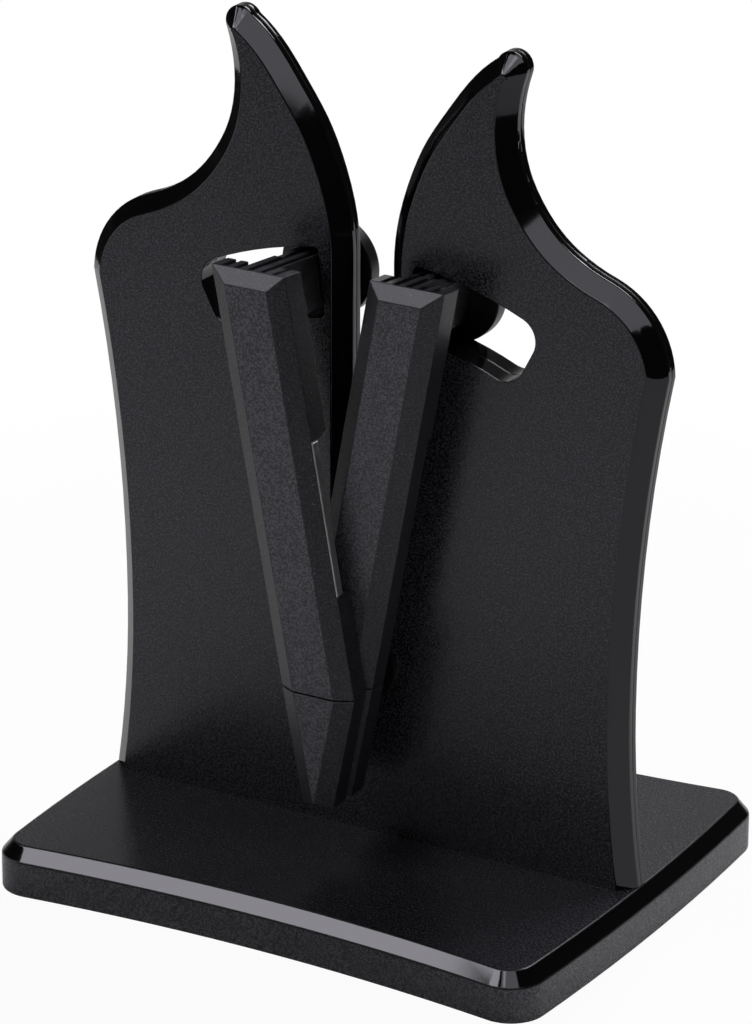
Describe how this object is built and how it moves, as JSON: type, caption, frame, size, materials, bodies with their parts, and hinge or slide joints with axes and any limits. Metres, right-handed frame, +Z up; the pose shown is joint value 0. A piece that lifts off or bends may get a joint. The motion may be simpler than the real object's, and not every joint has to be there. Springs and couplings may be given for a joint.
{
  "type": "pull through knife sharpener",
  "caption": "upright knife sharpener on a base: horned panel with a knife gap and crossing sprung arms that carry sharpening bars",
  "frame": {"origin": "centre of the base on the surface that its feet stand on", "axes": "X runs to the right along the panel, Y from the front with the arms to the back, Z up"},
  "size_m": [0.1392, 0.1072, 0.1906],
  "materials": {
    "base": "fine grained black with a smooth bevel",
    "panel": "fine grained black faces with a smooth bevel",
    "arms": "fine grained black",
    "bar_holders": "smooth black",
    "discs": "smooth black",
    "bearing_plastic": "smooth dark acetal",
    "sharpening_bars": "ground hard metal",
    "steel": "zinc plated",
    "rubber_feet": "soft matt"
  },
  "bodies": {
    "stand": {"base_shell": "base", "base_cover": "base", "cover_screws": "steel", "foot_front_left": "rubber_feet", "foot_front_right": "rubber_feet", "foot_rear_left": "rubber_feet", "foot_rear_right": "rubber_feet", "panel_front": "panel", "panel_rear": "panel", "panel_screws": "steel", "mounting_screws": "steel", "pivot_spacer": "bearing_plastic", "pivot_pin": "steel", "retaining_ring": "steel", "arm_spring": "steel"},
    "left_arm": {"left_arm": "arms", "left_tip": "arms", "left_bar": "sharpening_bars", "left_bar_holder": "bar_holders", "left_bush": "bearing_plastic", "left_disc": "discs", "left_disc_screw": "steel"},
    "right_arm": {"right_arm": "arms", "right_tip": "arms", "right_bar": "sharpening_bars", "right_bar_holder": "bar_holders", "right_bush": "bearing_plastic", "right_disc": "discs", "right_disc_screw": "steel"}
  },
  "joints": [
    {"name": "left_arm_swing", "type": "hinge", "parent": "stand", "child": "left_arm", "pos_m": [0, 0, 0.0505], "axis": [0, -1, 0], "range_deg": [0, 12.4], "stiffness_Nm_per_rad": 0.6, "springref_deg": -20.05, "deforming": ["arm_spring"]},
    {"name": "right_arm_swing", "type": "hinge", "parent": "stand", "child": "right_arm", "pos_m": [0, 0, 0.0505], "axis": [0, 1, 0], "range_deg": [0, 12.4], "stiffness_Nm_per_rad": 0.6, "springref_deg": -20.05, "deforming": ["arm_spring"]}
  ]
}
